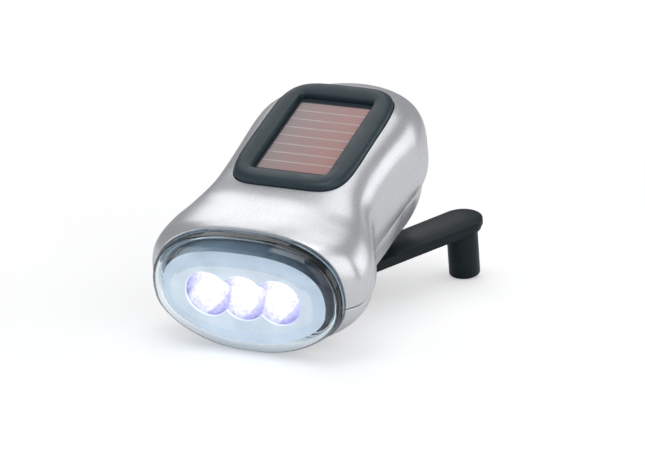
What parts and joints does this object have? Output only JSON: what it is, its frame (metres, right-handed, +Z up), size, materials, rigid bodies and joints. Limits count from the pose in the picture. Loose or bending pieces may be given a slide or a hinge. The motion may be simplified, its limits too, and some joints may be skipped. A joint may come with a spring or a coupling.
{
  "type": "dynamo flashlight",
  "caption": "Palm-sized wind-up torch: silver shell, clear nose over a row of lamps, solar cell on its back and a folding crank with a turning knob beneath.",
  "frame": {"origin": "middle of the bounding box's lowest plane, so that the floor is at zero height", "axes": "+Z up, -Y the way the lamps look, +X the torch's left as its user holds it, which is right in a view from the nose's side"},
  "size_m": [0.0654, 0.1132, 0.063],
  "materials": {
    "silver_paint": "satin silver paint over moulded plastic, with a fine metallic grain",
    "black_plastic": "satin black plastic with a cool tint",
    "clear_plastic": "clear polished plastic with a faint blue tint",
    "mirror_coat": "vacuum metallised mirror coat on plastic",
    "led_epoxy": "water clear epoxy lamp",
    "cell_film": "amorphous solar film under clear resin, pinkish brown with pale lines",
    "circuit_board": "green solder resist",
    "white_plastic": "natural white moulded plastic",
    "steel": "plain zinc plated steel",
    "brass": "turned brass",
    "copper_wire": "enamelled copper winding wire",
    "foam": "soft black foam",
    "magnet": "bonded ferrite ring",
    "cell_steel": "nickel plated steel button cell"
  },
  "bodies": {
    "housing": {"upper_housing": "silver_paint", "lower_housing": "silver_paint", "lens_cap": "clear_plastic", "reflector": "mirror_coat", "led_left": "led_epoxy", "led_middle": "led_epoxy", "led_right": "led_epoxy", "led_board": "circuit_board", "solar_bezel": "black_plastic", "solar_cell": "cell_film", "cell_pad": "foam", "main_board": "circuit_board", "capacitor": "cell_steel", "battery_cell_1": "cell_steel", "battery_cell_2": "cell_steel", "battery_cell_3": "cell_steel", "contact_minus": "steel", "contact_plus": "steel", "battery_cradle": "white_plastic", "gear_plate": "steel", "idler_axle": "steel", "crank_bush": "white_plastic", "stator_can": "steel", "stator_lid": "steel", "coil_bobbin": "white_plastic", "coil_winding": "copper_wire", "switch_body": "black_plastic", "screw_front_left": "steel", "screw_front_right": "steel", "screw_rear_left": "steel", "screw_rear_right": "steel"},
    "crank_hub": {"crank_yoke": "black_plastic", "crank_shaft": "steel", "shaft_clip": "steel", "crank_gear": "white_plastic", "fold_pin": "steel"},
    "arm": {"crank_arm": "black_plastic", "knob_pin": "steel"},
    "knob": {"crank_knob": "black_plastic"},
    "idler": {"idler_gear": "white_plastic"},
    "rotor": {"rotor_pinion": "brass", "rotor_shaft": "steel", "rotor_magnet": "magnet"},
    "switch": {"switch_slider": "black_plastic"}
  },
  "joints": [
    {"name": "crank_spin", "type": "hinge", "parent": "housing", "child": "crank_hub", "pos_m": [0, 0.00769, 0.01175], "axis": [0, -0.2197, 0.9756], "continuous": true},
    {"name": "arm_fold", "type": "hinge", "parent": "crank_hub", "child": "arm", "pos_m": [0.00264, 0.01272, 0.00929], "axis": [-0.8554, 0.5054, 0.1138], "range_deg": [0, 158]},
    {"name": "knob_spin", "type": "hinge", "parent": "arm", "child": "knob", "pos_m": [0.02481, 0.04843, 0.01733], "axis": [0, -0.2197, 0.9756], "continuous": true},
    {"name": "idler_spin", "type": "hinge", "parent": "housing", "child": "idler", "pos_m": [0, 0.02599, 0.01587], "axis": [0, -0.2197, 0.9756], "continuous": true},
    {"name": "rotor_spin", "type": "hinge", "parent": "housing", "child": "rotor", "pos_m": [0, 0.01428, 0.01323], "axis": [0, -0.2197, 0.9756], "continuous": true},
    {"name": "switch_slide", "type": "slide", "parent": "housing", "child": "switch", "axis": [0, 0.9756, 0.2197], "range_m": [0, 0.0025]}
  ],
  "couplings": [
    {"joint": "idler_spin", "follows": "crank_spin", "ratio": -4},
    {"joint": "rotor_spin", "follows": "crank_spin", "ratio": 12}
  ]
}
